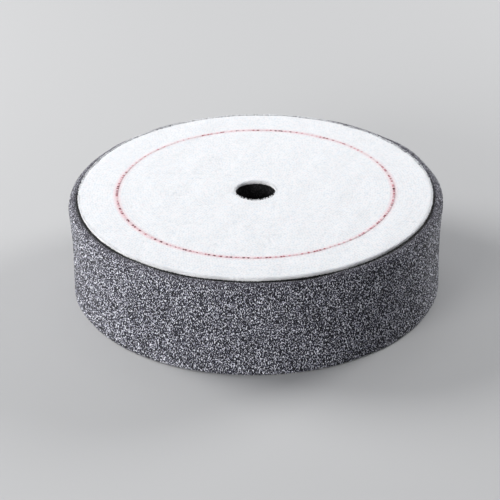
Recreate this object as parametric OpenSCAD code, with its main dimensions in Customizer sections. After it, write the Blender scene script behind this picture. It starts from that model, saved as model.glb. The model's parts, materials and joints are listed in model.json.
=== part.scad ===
// Foam polishing pad with a hook-and-loop back.
// The pad lies on its working face, with the loops up. The origin is the centre of the working face.

/* [Whole pad] */
// Outside diameter of the foam at its widest, just below the top edge
pad_d = 180; // [160:1:200]
// Height from the working face to the tips of the loops
pad_h = 49; // [35:0.5:60]
// Diameter of the hole through every layer
hole_d = 20; // [12:0.5:30]

/* [Foam] */
// Diameter of the flat working face and its rounded rim
face_d = 179; // [176:0.5:180]
// How far the side wall pulls in between its two rims
waist = 0.6; // [0:0.1:1.5]
// Radius of the rounded top edge
shoulder_r = 3; // [1:0.1:4]
// Radius of the edge around the working face
heel_r = 1; // [0.5:0.1:2]

/* [Loop fabric] */
// Diameter of the cut disc of fabric
fabric_d = 170; // [145:0.5:172]
// Height of the brushed loops
pile_t = 0.8; // [0.6:0.1:2]
// Thickness of the knitted cloth that the loops stand on
cloth_t = 0.3; // [0.2:0.1:1]

/* [Bond] */
// Thickness of the hot-melt film between foam and cloth
film_t = 0.1; // [0.1:0.05:0.5]
// How far the film stops short of the cloth's cut edges
film_setback = 0.4; // [0:0.1:1]

/* [Guide ring] */
// Diameter of the ring at the middle of its line
ring_d = 133.5; // [80:0.5:140]
// Width of the inked line
ring_w = 1; // [0.5:0.1:3]
// How deep the ink soaks into the loops
ring_t = 0.3; // [0.1:0.1:0.5]

/* [Hidden] */
$fn = 180;

hole_r = hole_d / 2;
foam_r = pad_d / 2;
face_r = face_d / 2;
fabric_r = fabric_d / 2;
ring_r = ring_d / 2;

// Heights of the joints between the layers, from the working face up
foam_top = pad_h - pile_t - cloth_t - film_t;
film_top = foam_top + film_t;
cloth_top = film_top + cloth_t;

arc_steps = 8;
wall_steps = 16;

// Points on an arc about c, from angle a0 to angle a1
function arc(c, r, a0, a1) =
    [for (i = [0:arc_steps]) let (a = a0 + (a1 - a0) * i / arc_steps) c + r * [cos(a), sin(a)]];

// Radius of the side wall at k, which is 0 at the working face's rim and 1 at the shoulder
function wall_r(k) = face_r + (foam_r - face_r) * k - waist * sin(180 * k);

// The points of the side wall between its two rounded rims
function wall() = let (low = heel_r, high = foam_top - shoulder_r)
    [for (i = [1:wall_steps - 1]) let (k = i / wall_steps) [wall_r(k), low + (high - low) * k]];

// Flat ring of stock between two radii, standing on height z
module washer(inner_r, outer_r, z, t) {
    translate([0, 0, z])
        rotate_extrude()
            translate([inner_r, 0])
                square([outer_r - inner_r, t]);
}

// Half section of the foam, turned about the pad's axis
module foam_body() {
    color([0.27, 0.28, 0.30])
        rotate_extrude()
            polygon(concat(
                [[hole_r, 0]],
                arc([face_r - heel_r, heel_r], heel_r, -90, 0),
                wall(),
                arc([foam_r - shoulder_r, foam_top - shoulder_r], shoulder_r, 0, 90),
                [[hole_r, foam_top]]));
}

module glue_film() {
    color([0.86, 0.84, 0.76])
        washer(hole_r + film_setback, fabric_r - film_setback, foam_top, film_t);
}

module backing_cloth() {
    color([0.90, 0.91, 0.93])
        washer(hole_r, fabric_r, film_top, cloth_t);
}

// The loops, with a shallow channel that the inked line fills
module loop_pile() {
    color([0.95, 0.96, 0.97])
        difference() {
            washer(hole_r, fabric_r, cloth_top, pile_t);
            washer(ring_r - ring_w / 2, ring_r + ring_w / 2, pad_h - ring_t, 2 * ring_t);
        }
}

module guide_ring() {
    color([0.78, 0.25, 0.28])
        washer(ring_r - ring_w / 2, ring_r + ring_w / 2, pad_h - ring_t, ring_t);
}

foam_body();
glue_film();
backing_cloth();
loop_pile();
guide_ring();
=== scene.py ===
import json
import math

import bpy
import numpy as np
from mathutils import Matrix, Vector
from mathutils.geometry import delaunay_2d_cdt


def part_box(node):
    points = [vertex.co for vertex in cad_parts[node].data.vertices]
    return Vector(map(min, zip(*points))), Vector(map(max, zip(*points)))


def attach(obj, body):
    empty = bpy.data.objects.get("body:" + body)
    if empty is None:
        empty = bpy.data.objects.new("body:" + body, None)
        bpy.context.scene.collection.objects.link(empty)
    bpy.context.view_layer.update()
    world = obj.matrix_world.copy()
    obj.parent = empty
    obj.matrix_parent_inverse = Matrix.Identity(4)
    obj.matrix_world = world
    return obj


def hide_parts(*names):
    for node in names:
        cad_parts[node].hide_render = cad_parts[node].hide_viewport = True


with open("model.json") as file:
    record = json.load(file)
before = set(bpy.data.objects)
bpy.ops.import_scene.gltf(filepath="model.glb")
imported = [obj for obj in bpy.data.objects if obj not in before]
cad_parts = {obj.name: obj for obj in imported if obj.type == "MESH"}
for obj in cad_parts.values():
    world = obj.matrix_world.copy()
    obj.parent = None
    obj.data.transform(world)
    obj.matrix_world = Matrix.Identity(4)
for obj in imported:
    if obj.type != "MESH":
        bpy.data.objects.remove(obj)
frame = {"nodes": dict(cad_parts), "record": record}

mm = 0.001
fullTurn = 2 * math.pi
rowShare = 0.87              # a row of cells is this much of a cell's size from the next
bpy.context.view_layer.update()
scene = bpy.context.scene

# where each layer lies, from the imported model
foamLow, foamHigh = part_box("foam_body")
clothLow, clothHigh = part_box("backing_cloth")
pileLow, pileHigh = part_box("loop_pile")
ringLow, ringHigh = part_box("guide_ring")
mounts = {mount["name"]: mount for mount in frame["record"]["mounts"]}
foamRadius = (foamHigh[0] - foamLow[0]) / 2
fabricRadius = (clothHigh[0] - clothLow[0]) / 2
holeRadius = mounts["centre_hole"]["dims"]["r_mm"] * mm
ringMiddle = ringHigh[0] - 0.5 * mm    # its line is 1 mm wide there


view = {
    "lens": 142.2,           # on a 36 mm wide picture
    "elevation": 29.11,      # degrees above the floor
    "roll": -0.83,
    "distance": 0.9688,
    "aim": (-0.003, 0.0, 0.016),
}


def placeCamera():
    camera = bpy.data.objects.new("camera", bpy.data.cameras.new("camera"))
    scene.collection.objects.link(camera)
    camera.data.lens = view["lens"]
    camera.data.clip_start = 0.05
    rise = math.radians(view["elevation"])
    away = Vector((0, -math.cos(rise), math.sin(rise))) * view["distance"]
    tilt = Matrix.Rotation(math.pi / 2 - rise, 4, "X")
    roll = Matrix.Rotation(math.radians(view["roll"]), 4, "Z")
    camera.matrix_world = Matrix.Translation(Vector(view["aim"]) + away) @ tilt @ roll
    scene.camera = camera


# A skin is a half outline of (radius, height) turned about the pad's axis. The outline runs with the
# material on its left. flatLog is the log of its radius on a flat plan that keeps the cells' shapes.
def turnSkin(corners, step=0.25 * mm):
    corners = np.array(corners)
    run = np.concatenate([[0], np.cumsum(np.hypot(*np.diff(corners, axis=0).T))])
    along = np.linspace(0, run[-1], int(run[-1] / step) + 1)
    radius = np.interp(along, run, corners[:, 0])
    height = np.interp(along, run, corners[:, 1])
    slopeR = np.gradient(radius, along)
    slopeZ = np.gradient(height, along)
    size = np.hypot(slopeR, slopeZ)
    flatLog = np.concatenate([[0], np.cumsum(2 * np.diff(along) / (radius[1:] + radius[:-1]))])
    return {
        "along": along,
        "radius": radius,
        "height": height,
        "outR": slopeZ / size,
        "outZ": -slopeR / size,
        "flatLog": flatLog - flatLog[-1],
    }


def roundCorner(centre, radius, startDeg, endDeg, steps=10):
    turns = np.radians(np.linspace(startDeg, endDeg, steps))
    return [(centre[0] + radius * math.cos(turn), centre[1] + radius * math.sin(turn)) for turn in turns]


# Rows of points, shaken so that no row shows. The pitch is the cells' size round the axis, and
# rowPitch their size along the outline.
def scatterRows(skin, pitch, rowPitch, rng, shake):
    rowGap = rowShare * rowPitch
    rowNumber = np.concatenate([[0], np.cumsum(np.diff(skin["along"]) / rowGap[1:])])
    rows = max(4, int(round(rowNumber[-1])))
    along, turn, rowOf = [], [], []
    for row in range(rows + 1):
        at = np.interp(row / rows * rowNumber[-1], rowNumber, skin["along"])
        radius = np.interp(at, skin["along"], skin["radius"])
        gap = np.interp(at, skin["along"], pitch)
        depth = np.interp(at, skin["along"], rowGap)
        count = max(12, int(round(fullTurn * radius / gap)))
        shift = rng.uniform(-shake, shake, (2, count)) * (0 < row < rows)
        along.append(at + depth * shift[0])
        turn.append(fullTurn * (np.arange(count) + rng.random() + shift[1]) / count)
        rowOf.append(np.full(count, row))
    return np.concatenate(along), np.concatenate(turn), np.concatenate(rowOf)


# Every scattered point becomes the centre of one irregular cell, a fan of triangles. The corners that
# three cells share come after the centres in the lists.
def cutCells(skin, pitch, rowPitch, seed, shake):
    rng = np.random.default_rng(seed)
    along, turn, row = scatterRows(skin, pitch, rowPitch, rng, shake)
    flat = np.exp(np.interp(along, skin["along"], skin["flatLog"]))
    xy = np.stack([flat * np.cos(turn), flat * np.sin(turn)], 1)
    found = delaunay_2d_cdt([Vector(p) for p in xy.tolist()], [], [], 0, 1e-9, False)
    tri = np.array(found[2])
    tri = tri[~(row[tri] == 0).all(1)]                    # leaves the centre open
    sideA = xy[tri[:, 1]] - xy[tri[:, 0]]
    sideB = xy[tri[:, 2]] - xy[tri[:, 0]]
    backwards = sideA[:, 0] * sideB[:, 1] < sideA[:, 1] * sideB[:, 0]
    tri[backwards] = tri[backwards][:, ::-1]
    middle = xy[tri].mean(1)
    middleAlong = np.interp(np.log(np.hypot(*middle.T)), skin["flatLog"], skin["along"])
    count = len(xy)
    start, end = tri.ravel(), np.roll(tri, -1, 1).ravel()
    corner = np.repeat(np.arange(len(tri)), 3) + count
    key, back = start * count + end, end * count + start
    order = np.argsort(key)
    spot = np.minimum(np.searchsorted(key[order], back), len(key) - 1)
    paired = key[order][spot] == back
    fans = np.stack([start, corner[order][spot], corner], 1)[paired]
    rim = np.stack([start, end, corner], 1)[~paired]
    return {
        "along": np.concatenate([along, middleAlong]),
        "turn": np.concatenate([turn, np.arctan2(middle[:, 1], middle[:, 0])]) % fullTurn,
        "isCentre": np.arange(count + len(tri)) < count,
        "faces": np.concatenate([fans, rim])[:, ::-1],
        "firstLoop": np.flatnonzero(row == 0),
        "lastLoop": np.flatnonzero(row == row.max()),
    }


# walks round both edge loops at once and joins them, which closes the side that other layers hide
def closeBehind(cells):
    def closedLoop(loop):
        order = loop[np.argsort(cells["turn"][loop])]
        turns = cells["turn"][order]
        return np.append(order, order[0]), np.append(turns, turns[0] + fullTurn)

    first, firstTurn = closedLoop(cells["firstLoop"])
    last, lastTurn = closedLoop(cells["lastLoop"])
    faces, i, j = [], 0, 0
    while i < len(first) - 1 or j < len(last) - 1:
        if j == len(last) - 1 or (i < len(first) - 1 and firstTurn[i + 1] < lastTurn[j + 1]):
            faces.append((first[i + 1], first[i], last[j]))
            i += 1
        else:
            faces.append((last[j], last[j + 1], first[i]))
            j += 1
    return np.array(faces)


def onSkin(skin, cells, name):
    return np.interp(cells["along"], skin["along"], skin[name])


def skinPoints(skin, cells, lift):
    radius = onSkin(skin, cells, "radius") + lift * onSkin(skin, cells, "outR")
    height = onSkin(skin, cells, "height") + lift * onSkin(skin, cells, "outZ")
    return np.stack([radius * np.cos(cells["turn"]), radius * np.sin(cells["turn"]), height], 1)


# how far some bearings round the pad are from a named one, in degrees
def degreesFrom(turn, bearing):
    return np.abs((np.degrees(turn) - bearing + 180) % 360 - 180)


# slow waves over a surface, from a few random sines, about 1 high
def slowWaves(points, size, seed, count=10):
    rng = np.random.default_rng(seed)
    total = np.zeros(len(points))
    for _ in range(count):
        direction = rng.normal(size=3)
        direction /= np.linalg.norm(direction)
        length = size * rng.uniform(0.7, 1.5)
        total += np.sin(fullTurn * (points @ direction / length + rng.random()))
    return total / math.sqrt(count / 2)


flatMaps = {
    "reach": 0.49,               # from the middle of a map to its outer edge
    "corner": 0.01,              # where the hidden faces go, and how small
    "cornerSize": 0.08,
}


# The marks are what a finish reads, and flatMap is each point's place on the piece's own flat map.
# The last hiddenFaces of the faces go small into a corner of the map.
def newPiece(name, points, faces, flatMap, marks=None, hiddenFaces=0):
    mesh = bpy.data.meshes.new(name)
    mesh.from_pydata(points.tolist(), [], faces.tolist())
    for markName, values in (marks or {}).items():
        mark = mesh.attributes.new(markName, "FLOAT", "POINT")
        mark.data.foreach_set("value", np.ascontiguousarray(values, np.float32))
    places = flatMap[faces.ravel()]
    firstHidden = len(places) - 3 * hiddenFaces
    places[firstHidden:] = flatMaps["corner"] + flatMaps["cornerSize"] * places[firstHidden:]
    mesh.uv_layers.new(name="OFBake").data.foreach_set("uv", places.ravel())
    mesh.update()
    mesh.shade_smooth()
    piece = bpy.data.objects.new(name, mesh)
    scene.collection.objects.link(piece)
    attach(piece, "root")
    print(name + ":", len(faces), "faces")
    return piece


# mapEnds says how far from the middle of its flat map a skin's first and last edges are laid
def newSkinPiece(name, skin, cells, lift, marks, mapEnds):
    lift[np.concatenate([cells["firstLoop"], cells["lastLoop"]])] = 0
    points = skinPoints(skin, cells, lift)
    points[:, 2] = np.maximum(points[:, 2], 0)
    behind = closeBehind(cells)
    spread = flatMaps["reach"] * np.interp(cells["along"], [0, skin["along"][-1]], mapEnds)
    flatMap = 0.5 + np.stack([spread * np.cos(cells["turn"]), spread * np.sin(cells["turn"])], 1)
    return newPiece(name, points, np.concatenate([cells["faces"], behind]), flatMap, marks, len(behind))


def newMaterial(name, **sockets):
    material = bpy.data.materials.new(name)
    material.use_nodes = True
    shader = material.node_tree.nodes["Principled BSDF"]
    for socket, value in sockets.items():
        shader.inputs[socket.replace("_", " ")].default_value = value
    return material, material.node_tree, shader


def addNode(tree, kind, links=None, **values):
    node = tree.nodes.new("ShaderNode" + kind)
    for name, value in values.items():
        if hasattr(node, name):
            setattr(node, name, value)
        else:
            node.inputs[name.replace("_", " ")].default_value = value
    for name, source in (links or {}).items():
        tree.links.new(source, node.inputs[name])
    return node


def addRamp(tree, factor, stops):
    node = addNode(tree, "ValToRGB", {"Fac": factor})
    ramp = node.color_ramp
    while len(ramp.elements) < len(stops):
        ramp.elements.new(0.5)
    for element, (place, colour) in zip(ramp.elements, stops):
        element.position = place
        element.color = (*colour, 1)
    return node.outputs["Color"]


def darken(tree, colour, shade):
    node = addNode(tree, "Mix", data_type="RGBA", blend_type="MULTIPLY")
    node.inputs[0].default_value = 1
    tree.links.new(colour, node.inputs[6])
    tree.links.new(shade, node.inputs[7])
    return node.outputs[2]


def blendTo(tree, colour, other, share):
    node = addNode(tree, "Mix", {"Factor": share}, data_type="RGBA")
    tree.links.new(colour, node.inputs[6])
    node.inputs[7].default_value = (*other, 1)
    return node.outputs[2]


def readMark(tree, name):
    return addNode(tree, "Attribute", attribute_name=name).outputs["Fac"]


def addBump(tree, shader, height, strength, distance):
    bump = addNode(tree, "Bump", {"Height": height}, Strength=strength, Distance=distance)
    tree.links.new(bump.outputs["Normal"], shader.inputs["Normal"])


foam = {
    "cellPitch": 0.97 * mm,       # round the side and the shoulder, which are seen most
    "cellTall": 1.6,              # cells are this much taller than wide, as foam rises
    "underPitch": 2.25 * mm,      # on the working face
    "borePitch": 1.5 * mm,
    "pitDepth": 1.0 * mm,
    "strutRise": 0.15 * mm,
    "shoulderRadius": 3.0 * mm,
    "heelRadius": 1.0 * mm,
    "boreEdge": 0.5 * mm,
    "boreBand": 2.0 * mm,         # what lies this near the hole has the bore's cells
    "rimBand": 4.0 * mm,          # and what lies this near the side has the side's
    "underFabric": 2.0 * mm,      # how far the made top runs in under the fabric
    "faceInset": 0.5 * mm,        # the working face is this much smaller in radius than the shoulder
    "waist": 0.6 * mm,
    "shake": 0.33,                # how far the cells stray from even rows
    "faceBand": 0.3 * mm,         # what lies lower than this is the working face
    "wave": 0.15 * mm,            # slow unevenness of the cut wall
    "waveLength": 30 * mm,
    "swell": 0.8 * mm,            # one side of the shoulder stands out by this much
    "swellAt": 35,                # at this bearing
    "swellSpread": 40,
    "grooveDepth": 0.6 * mm,      # pressed in round the fabric's edge
    "grooveAt": 0.9 * mm,         # outside that edge
    "grooveWidth": 0.9 * mm,
    "grain": (2500, 2500, 1200),  # speckle with painted glints and pore shade, in spots per metre
    "rubbed": (0.08, 0.07, 0.095),    # cells closed up by handling, on the shoulder
    "rubbedShare": 0.5,
    "mapEnds": (0.03, 1),
    "seed": 11,
}


def foamOutline():
    shoulder, heel, edge = foam["shoulderRadius"], foam["heelRadius"], foam["boreEdge"]
    faceRadius = foamRadius - foam["faceInset"]
    top = foamHigh[2]
    low, high = heel, top - shoulder
    wall = []
    for k in np.linspace(0, 1, 17)[1:-1]:
        radius = faceRadius + foam["faceInset"] * k - foam["waist"] * math.sin(math.pi * k)
        wall.append((radius, low + (high - low) * k))
    return (
        [(holeRadius, top)]
        + roundCorner((holeRadius + edge, edge), edge, 180, 270, 6)
        + roundCorner((faceRadius - heel, heel), heel, -90, 0)
        + wall
        + roundCorner((foamRadius - shoulder, top - shoulder), shoulder, 0, 90, 14)
        + [(fabricRadius - foam["underFabric"], top)]
    )


def makeFoam():
    skin = turnSkin(foamOutline())
    isBore = skin["radius"] < holeRadius + foam["boreBand"]
    isUnder = (skin["height"] < foam["faceBand"]) & (skin["radius"] < foamRadius - foam["rimBand"])
    pitch = np.select([isBore, isUnder], [foam["borePitch"], foam["underPitch"]], foam["cellPitch"])
    rowPitch = pitch * (1 + (foam["cellTall"] - 1) * skin["outR"] ** 2)
    cells = cutCells(skin, pitch, rowPitch, foam["seed"], foam["shake"])
    rng = np.random.default_rng(foam["seed"] + 1)
    count = len(cells["turn"])
    still = skinPoints(skin, cells, 0)
    isCentre = cells["isCentre"]
    pore = np.where(isCentre, rng.uniform(0.15, 1, count), rng.uniform(0, 0.25, count))
    rise = rng.uniform(-1, 1, count) * foam["strutRise"]
    gap = np.interp(cells["along"], skin["along"], pitch)
    pit = pore * foam["pitDepth"] * np.minimum(gap / foam["cellPitch"], 1.5)
    lift = np.where(isCentre, -pit, rise)
    lift += foam["wave"] * slowWaves(still, foam["waveLength"], foam["seed"])
    around = np.exp(-((degreesFrom(cells["turn"], foam["swellAt"]) / foam["swellSpread"]) ** 2))
    upward = np.clip(still[:, 2] / foamHigh[2], 0, 1) ** 2
    lift += foam["swell"] * around * upward * onSkin(skin, cells, "outR")
    lift = np.where(still[:, 2] < foam["faceBand"], np.minimum(lift, 0), lift)
    radius = np.hypot(still[:, 0], still[:, 1])
    onTop = np.clip((still[:, 2] - foamHigh[2]) / foam["shoulderRadius"] + 1, 0, 1)
    fromGroove = (radius - fabricRadius - foam["grooveAt"]) / foam["grooveWidth"]
    groove = onTop * np.exp(-np.maximum(fromGroove, 0) ** 2)
    lift -= foam["grooveDepth"] * groove
    # painted shade: the bore and the pressed-in ring round the fabric's edge are darkened in colour
    shade = np.where(radius < holeRadius + 0.4 * mm, 1, groove)
    rubbed = foam["rubbedShare"] * onTop * rng.uniform(0.5, 1, count)
    marks = {"pore": pore, "tone": rng.random(count), "shade": shade, "rubbed": rubbed}
    piece = newSkinPiece("foamPad", skin, cells, lift, marks, foam["mapEnds"])
    piece.data.materials.append(foamMaterial())
    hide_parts("foam_body")
    return piece


def foamMaterial():
    sheen = {"Sheen_Weight": 0.3, "Sheen_Roughness": 0.3}
    material, tree, shader = newMaterial("charcoalFoam", Roughness=0.8, **sheen)
    place = addNode(tree, "TexCoord").outputs["Object"]
    spots = addNode(tree, "Mapping", {"Vector": place}, Scale=foam["grain"])
    speckle = addNode(tree, "TexNoise", {"Vector": spots.outputs["Vector"]}, Scale=1, Detail=0)
    # partly the foam's own speckle, partly painted: near-white glints on the struts and painted shade in
    # the pores
    dark, dim = (0.008, 0.008, 0.013), (0.04, 0.04, 0.062)
    light, glint = (0.62, 0.62, 0.82), (0.94, 0.95, 1)
    stops = [(0.52, dark), (0.59, dim), (0.63, light), (0.66, glint)]
    strutGlintsAndPoreShade = addRamp(tree, speckle.outputs["Fac"], stops)
    # painted shade: each cell's pit is darkened in colour by its depth
    pitShadeStops = [(0.1, (1, 1, 1)), (0.5, (0.8, 0.8, 0.81)), (0.85, (0.4, 0.4, 0.41))]
    pitShade = addRamp(tree, readMark(tree, "pore"), pitShadeStops)
    rubbed = blendTo(tree, strutGlintsAndPoreShade, foam["rubbed"], readMark(tree, "rubbed"))
    patchy = addRamp(tree, readMark(tree, "tone"), [(0, (0.75, 0.75, 0.75)), (1, (1, 1, 1))])
    # painted shade in the bore and round the fabric's edge
    paintedShade = addRamp(tree, readMark(tree, "shade"), [(0.2, (1, 1, 1)), (0.9, (0.07, 0.06, 0.06))])
    colour = darken(tree, darken(tree, darken(tree, rubbed, pitShade), patchy), paintedShade)
    tree.links.new(colour, shader.inputs["Base Color"])
    grain = addNode(tree, "TexNoise", {"Vector": place}, Scale=2600, Detail=3).outputs["Fac"]
    addBump(tree, shader, grain, 0.5, 0.15 * mm)
    return material


# What every slab shares. Its edge zone is as wide as rim, and its cells grow from edgePitch to pitch
# over the stretch named in growing.
slabs = {
    "step": 0.1 * mm,
    "shake": 0.27,
    "rim": 1 * mm,
    "growing": (1 * mm, 2.5 * mm),
    "waveLength": 14 * mm,
}


# A slab is a flat ring of stock, and its outline runs from its outer foot over the top to its inner
# foot. Its lips hang down over the cut sides of what it lies on.
def slabOutline(slab, inner, outer, low, high):
    edge, lip, droop = slab["edge"], slab.get("lip", 0), slab.get("droop", 0)
    return (
        [(outer - lip, low), (outer - lip, low - droop), (outer, low - droop)]
        + roundCorner((outer - edge, high - edge), edge, 0, 90, 6)
        + roundCorner((inner + edge, high - edge), edge, 90, 180, 6)
        + [(inner, low - droop), (inner + lip, low - droop), (inner + lip, low)]
    )


def makeSlab(name, slab, inner, outer, low, high, ink=None):
    skin = turnSkin(slabOutline(slab, inner, outer, low, high), slabs["step"])
    fromEdge = np.minimum(outer - skin["radius"], skin["radius"] - inner)
    pitch = np.interp(fromEdge, slabs["growing"], [slab["edgePitch"], slab["pitch"]])
    cells = cutCells(skin, pitch, pitch, slab["seed"], slabs["shake"])
    rng = np.random.default_rng(slab["seed"] + 1)
    count = len(cells["turn"])
    isCentre = cells["isCentre"]
    lift = np.where(isCentre, slab["rise"], -slab["rise"]) * rng.uniform(0.2, 1, count)
    lift += slab["wave"] * slowWaves(skinPoints(skin, cells, 0), slabs["waveLength"], slab["seed"])
    nearEdge = np.clip(1 - np.interp(cells["along"], skin["along"], fromEdge) / slabs["rim"], 0, 1)
    lift += slab["ragged"] * rng.uniform(-1, 1, count) * nearEdge
    marks = {"pore": np.where(isCentre, 0, 1) * rng.uniform(0.4, 1, count), "cut": nearEdge}
    if ink:
        marks["ink"] = ink(cells["turn"])
    return newSkinPiece(name, skin, cells, lift, marks, (1, inner / outer))


pile = {
    "pitch": 1.4 * mm,           # one tuft
    "edgePitch": 0.55 * mm,
    "rise": 0.09 * mm,           # how far tufts stand above the gaps between them, halved
    "edge": 1.2 * mm,
    "overhang": 0.25 * mm,       # the loops spread a little past the cut cloth
    "lip": 0.2 * mm,
    "droop": 0.75 * mm,          # and hang down over its cut side
    "wave": 0.06 * mm,
    "ragged": 0.22 * mm,
    "litEdgeColour": (0.97, 0.97, 0.975),    # painted light: whiter than the brushed face, as if lit
    "seeThrough": {
        "Subsurface_Weight": 0.6,
        "Subsurface_Scale": 1.2 * mm,
        "Subsurface_Radius": (1, 1, 1),
    },
    "stain": (0.88, 0.42, 0.46),
    "stainShare": 0.65,          # beside the guide line
    "stainWidth": 2.2 * mm,      # to each side of it
    "seed": 23,
}


def makePile():
    inner, outer = holeRadius - pile["overhang"], fabricRadius + pile["overhang"]
    piece = makeSlab("loopPile", pile, inner, outer, pileLow[2], pileHigh[2], inkStrength)
    piece.data.materials.append(loopMaterial())
    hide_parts("loop_pile")
    return piece


# how much of the line's ink has run into the loops beside it
def nearLine(tree, place):
    level = addNode(tree, "VectorMath", {"Vector": place}, operation="MULTIPLY")
    level.inputs[1].default_value = (1, 1, 0)
    radius = addNode(tree, "VectorMath", {"Vector": level.outputs["Vector"]}, operation="LENGTH")
    offLine = addNode(tree, "Math", {0: radius.outputs["Value"]}, operation="SUBTRACT")
    offLine.inputs[1].default_value = ringMiddle
    side = addNode(tree, "Math", {0: offLine.outputs["Value"]}, operation="ABSOLUTE").outputs["Value"]
    reach = {"From_Max": pile["stainWidth"], "To_Min": pile["stainShare"], "To_Max": 0}
    faded = addNode(tree, "MapRange", {"Value": side}, **reach).outputs["Result"]
    taken = addNode(tree, "Math", {0: faded, 1: readMark(tree, "ink")}, operation="MULTIPLY")
    return taken.outputs["Value"]


def loopMaterial():
    material, tree, shader = newMaterial("brushedLoops", Roughness=0.9, **pile["seeThrough"])
    place = addNode(tree, "TexCoord").outputs["Object"]
    drift = addNode(tree, "TexNoise", {"Vector": place}, Scale=700, Detail=3).outputs["Fac"]
    cool, plain, warm = (0.78, 0.81, 0.85), (0.84, 0.85, 0.86), (0.86, 0.835, 0.85)
    white = addRamp(tree, drift, [(0.3, cool), (0.5, plain), (0.7, warm)])
    # painted shade in the gaps between the tufts
    gapShade = addRamp(tree, readMark(tree, "pore"), [(0.3, (1, 1, 1)), (1, (0.8, 0.82, 0.84))])
    stained = blendTo(tree, darken(tree, white, gapShade), pile["stain"], nearLine(tree, place))
    # painted light: the cut edges are painted whiter than the face, as if lit
    colour = blendTo(tree, stained, pile["litEdgeColour"], readMark(tree, "cut"))
    tree.links.new(colour, shader.inputs["Base Color"])
    fibre = addNode(tree, "TexNoise", {"Vector": place}, Scale=2200, Detail=4, Distortion=1.5)
    addBump(tree, shader, fibre.outputs["Fac"], 0.6, 0.2 * mm)
    return material


cloth = {
    "pitch": 2.2 * mm,
    "edgePitch": 1.5 * mm,
    "rise": 0.0,
    "edge": 0.1 * mm,
    "setback": 0.1 * mm,         # from the fabric's cut edge, under the loops
    "wave": 0.0,
    "ragged": 0.08 * mm,
    "seed": 31,
}


def makeCloth():
    inner, outer = holeRadius + cloth["setback"], fabricRadius - cloth["setback"]
    piece = makeSlab("backingCloth", cloth, inner, outer, clothLow[2], clothHigh[2])
    piece.data.materials.append(knitMaterial())
    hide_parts("backing_cloth")
    return piece


def knitMaterial():
    material, tree, shader = newMaterial("knittedGround", Roughness=0.85)
    place = addNode(tree, "TexCoord").outputs["Object"]
    rows = addNode(tree, "TexWave", {"Vector": place}, Scale=900, Distortion=2, Detail=1).outputs["Fac"]
    colour = addRamp(tree, rows, [(0, (0.70, 0.71, 0.74)), (1, (0.80, 0.81, 0.83))])
    tree.links.new(colour, shader.inputs["Base Color"])
    addBump(tree, shader, rows, 0.5, 0.1 * mm)
    return material


# single loops of yarn that stand clear of the pile, on the face and round both cut edges
loops = {
    "yarn": 0.06 * mm,           # radius of the bunched yarn in one loop
    "rise": (0.35 * mm, 0.75 * mm),
    "spread": (0.25 * mm, 0.5 * mm),
    "onFace": 3900,
    "onRim": 1900,
    "onHole": 200,
    "rimLean": 0.9,              # how far the loops round the edges lean outwards
    "sway": 0.35,                # how far any loop leans by chance
    "sink": 0.2 * mm,            # of the loops' feet into the pile
    "faceShare": 0.6,            # loops on the face rise this much of what those on the edges do
    "bends": 6,
    "mapReach": 0.47,            # from the middle of their flat map to the rim
    "seed": 41,
}


def makeLoops():
    rng = np.random.default_rng(loops["seed"])
    onFace, onRim, onHole = loops["onFace"], loops["onRim"], loops["onHole"]
    faceR = np.sqrt(rng.uniform((holeRadius + 0.6 * mm) ** 2, (fabricRadius - 0.3 * mm) ** 2, onFace))
    rimR = fabricRadius + rng.uniform(-0.25, 0.25, onRim) * mm
    edgeR = holeRadius + rng.uniform(0, 0.35, onHole) * mm
    radius = np.concatenate([faceR, rimR, edgeR])
    lean = np.repeat([0, loops["rimLean"], -loops["rimLean"]], [onFace, onRim, onHole])
    count = len(radius)
    turn = rng.uniform(0, fullTurn, count)
    outward = np.stack([np.cos(turn), np.sin(turn), np.zeros(count)], 1)
    swing = rng.uniform(0, fullTurn, count)
    across = np.stack([np.cos(swing), np.sin(swing), np.zeros(count)], 1)
    sway = rng.normal(0, loops["sway"], (count, 3)) * [1, 1, 0.2]
    up = np.array([0, 0, 1.0]) + outward * lean[:, None] + sway
    up /= np.linalg.norm(up, axis=1)[:, None]
    foot = outward * radius[:, None]
    foot[:, 2] = pileHigh[2] - loops["sink"]
    rise = rng.uniform(*loops["rise"], count) * np.where(lean == 0, loops["faceShare"], 1)
    spread = rng.uniform(*loops["spread"], count)
    bends = np.linspace(-0.15, 1.15, loops["bends"]) * math.pi
    path = [
        foot + across * (-math.cos(bend) * spread)[:, None] + up * (math.sin(bend) * rise)[:, None]
        for bend in bends
    ]
    points, faces = sweepYarn(np.stack(path, 1), across, up)
    flatMap = 0.5 + loops["mapReach"] * points[:, :2] / fabricRadius
    piece = newPiece("looseLoops", points, faces, flatMap)
    piece.data.materials.append(yarnMaterial())
    return piece


# paths are counted as (loop, step, xyz), and each becomes a closed three-sided tube
def sweepYarn(path, across, up):
    count, steps = path.shape[:2]
    ahead = np.gradient(path, axis=1)
    ahead /= np.linalg.norm(ahead, axis=2)[:, :, None]
    side = np.cross(across, up)
    side /= np.linalg.norm(side, axis=1)[:, None]
    side = np.repeat(side[:, None], steps, 1)
    thick = np.cross(ahead, side)
    angles = fullTurn * np.arange(3) / 3
    arms = [math.cos(angle) * side + math.sin(angle) * thick for angle in angles]
    points = np.stack([path + loops["yarn"] * arm for arm in arms], 2).reshape(-1, 3)
    faces = [(0, 2, 1), (steps * 3 - 3, steps * 3 - 2, steps * 3 - 1)]
    for step in range(steps - 1):
        for corner in range(3):
            a, b = step * 3 + corner, step * 3 + (corner + 1) % 3
            faces += [(a, b, a + 3), (b, b + 3, a + 3)]
    faces = np.array(faces)[None] + (np.arange(count) * steps * 3)[:, None, None]
    return points, faces.reshape(-1, 3)


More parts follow.
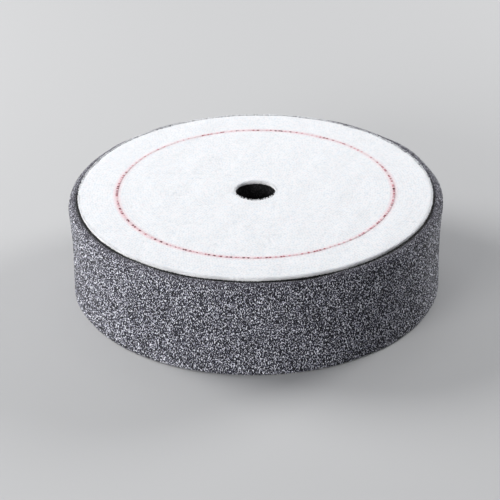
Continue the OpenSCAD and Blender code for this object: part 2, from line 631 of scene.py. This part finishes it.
def yarnMaterial():
    material, tree, shader = newMaterial("looseYarn", Roughness=0.7, Sheen_Weight=0.4)
    place = addNode(tree, "TexCoord").outputs["Object"]
    drift = addNode(tree, "TexNoise", {"Vector": place}, Scale=900, Detail=2).outputs["Fac"]
    colour = addRamp(tree, drift, [(0.3, (0.78, 0.81, 0.85)), (0.7, (0.93, 0.92, 0.93))])
    tree.links.new(colour, shader.inputs["Base Color"])
    return material


ring = {
    "width": 1.05 * mm,
    "pitch": 0.4 * mm,
    "edgePitch": 0.4 * mm,
    "rise": 0.04 * mm,
    "edge": 0.1 * mm,
    "wave": 0.02 * mm,
    "ragged": 0.12 * mm,
    "dotGap": 2.0 * mm,          # the ink sits darker on single loops
    "dotSize": 0.55 * mm,
    "dotPower": 1.6,             # of the strongest dot
    "betweenDots": 0.14,
    "standsUp": 0.1 * mm,        # above the loops
    "inkAt": {                   # bearing in degrees: how well the line took there
        0: 0.85, 35: 0.35, 70: 0.8, 95: 0.8, 125: 0.35, 150: 0.35,
        180: 0.9, 215: 0.8, 270: 0.75, 310: 0.35, 335: 0.6,
    },
    "seed": 53,
}


# how strongly the line has taken at each bearing
def inkStrength(turn):
    bearings = list(ring["inkAt"]) + [360]
    strengths = list(ring["inkAt"].values())
    return np.interp(np.degrees(turn) % 360, bearings, strengths + strengths[:1])


def lineInk(turn):
    rng = np.random.default_rng(ring["seed"] + 1)
    dots = int(fullTurn * ringMiddle / ring["dotGap"])
    dotTurn = fullTurn * (np.arange(dots) + rng.uniform(-0.4, 0.4, dots)) / dots
    power = rng.uniform(0, ring["dotPower"], dots) * inkStrength(dotTurn)
    away = np.abs((turn[:, None] - dotTurn + math.pi) % fullTurn - math.pi) * ringMiddle
    spots = (power * np.exp(-((away / ring["dotSize"]) ** 2))).max(1)
    return np.clip(ring["betweenDots"] * inkStrength(turn) + spots, 0, 1)


def makeRing():
    inner, outer = ringMiddle - ring["width"] / 2, ringMiddle + ring["width"] / 2
    top = pileHigh[2] + ring["standsUp"]
    piece = makeSlab("guideRing", ring, inner, outer, ringLow[2], top, lineInk)
    piece.data.materials.append(inkMaterial())
    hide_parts("guide_ring")
    return piece


def inkMaterial():
    material, tree, shader = newMaterial("ringInk", Roughness=0.8)
    ink = readMark(tree, "ink")
    pale, pink = (0.84, 0.72, 0.74), (0.72, 0.33, 0.37)
    red, dark = (0.3, 0.05, 0.07), (0.06, 0.01, 0.015)
    colour = addRamp(tree, ink, [(0.08, pale), (0.45, pink), (0.7, red), (0.95, dark)])
    place = addNode(tree, "TexCoord").outputs["Object"]
    fibre = addNode(tree, "TexNoise", {"Vector": place}, Scale=2200, Detail=3).outputs["Fac"]
    worn = addRamp(tree, fibre, [(0.35, (0.75, 0.75, 0.75)), (0.6, (1, 1, 1))])
    tree.links.new(darken(tree, colour, worn), shader.inputs["Base Color"])
    addBump(tree, shader, fibre, 0.5, 0.15 * mm)
    return material


# the adhesive film keeps its CAD shape and only gets a finish
def finishFilm():
    material, tree, shader = newMaterial("hotMeltFilm", Roughness=0.5, IOR=1.48)
    place = addNode(tree, "TexCoord").outputs["Object"]
    cloud = addNode(tree, "TexNoise", {"Vector": place}, Scale=500, Detail=2).outputs["Fac"]
    colour = addRamp(tree, cloud, [(0.3, (0.62, 0.58, 0.48)), (0.7, (0.8, 0.77, 0.68))])
    tree.links.new(colour, shader.inputs["Base Color"])
    film = frame["nodes"]["glue_film"]
    film.data.materials.clear()
    film.data.materials.append(material)
    print("film: finished")


studio = {
    "floor": 0.5,                # how pale
    "floorReach": 4,             # metres to each side
    "world": 0.27,
    "aim": (0, 0, 0.02),
    "lights": {
        "key": {"spot": (-0.95, 0.4, 0.6), "size": 0.7, "power": 13.5},
        "rim": {"spot": (0.82, 0.57, 0.5), "size": 0.5, "power": 7.5},
        "top": {"spot": (0.0, 0.5, 1.3), "size": 0.8, "power": 1.4},
        "front": {"spot": (-0.9, -1.05, 0.35), "size": 0.8, "power": 14.5},
    },
}


def addLight(name, spot, size, power):
    light = bpy.data.objects.new(name, bpy.data.lights.new(name, "AREA"))
    scene.collection.objects.link(light)
    light.data.shape = "DISK"
    light.data.size = size
    light.data.energy = power
    light.location = spot
    facing = Vector(studio["aim"]) - Vector(spot)
    light.rotation_euler = facing.to_track_quat("-Z", "Y").to_euler()


def makeStudio():
    mesh = bpy.data.meshes.new("floor")
    reach = studio["floorReach"]
    corners = [(-reach, -reach, 0), (reach, -reach, 0), (reach, reach, 0), (-reach, reach, 0)]
    mesh.from_pydata(corners, [], [(0, 1, 2, 3)])
    floor = bpy.data.objects.new("floor", mesh)
    scene.collection.objects.link(floor)
    grey = studio["floor"]
    mesh.materials.append(newMaterial("paleFloor", Base_Color=(grey, grey, grey, 1), Roughness=0.8)[0])
    world = bpy.data.worlds.new("paleRoom")
    world.use_nodes = True
    background = world.node_tree.nodes["Background"]
    background.inputs["Color"].default_value = (0.9, 0.93, 1, 1)
    background.inputs["Strength"].default_value = studio["world"]
    scene.world = world
    for name, light in studio["lights"].items():
        addLight(name, **light)
    scene.view_settings.view_transform = "Standard"
    print("studio: floor and", len(studio["lights"]), "lights")


placeCamera()
foamPad = makeFoam()
clothPiece = makeCloth()
pilePiece = makePile()
loopPiece = makeLoops()
ringPiece = makeRing()
finishFilm()
makeStudio()
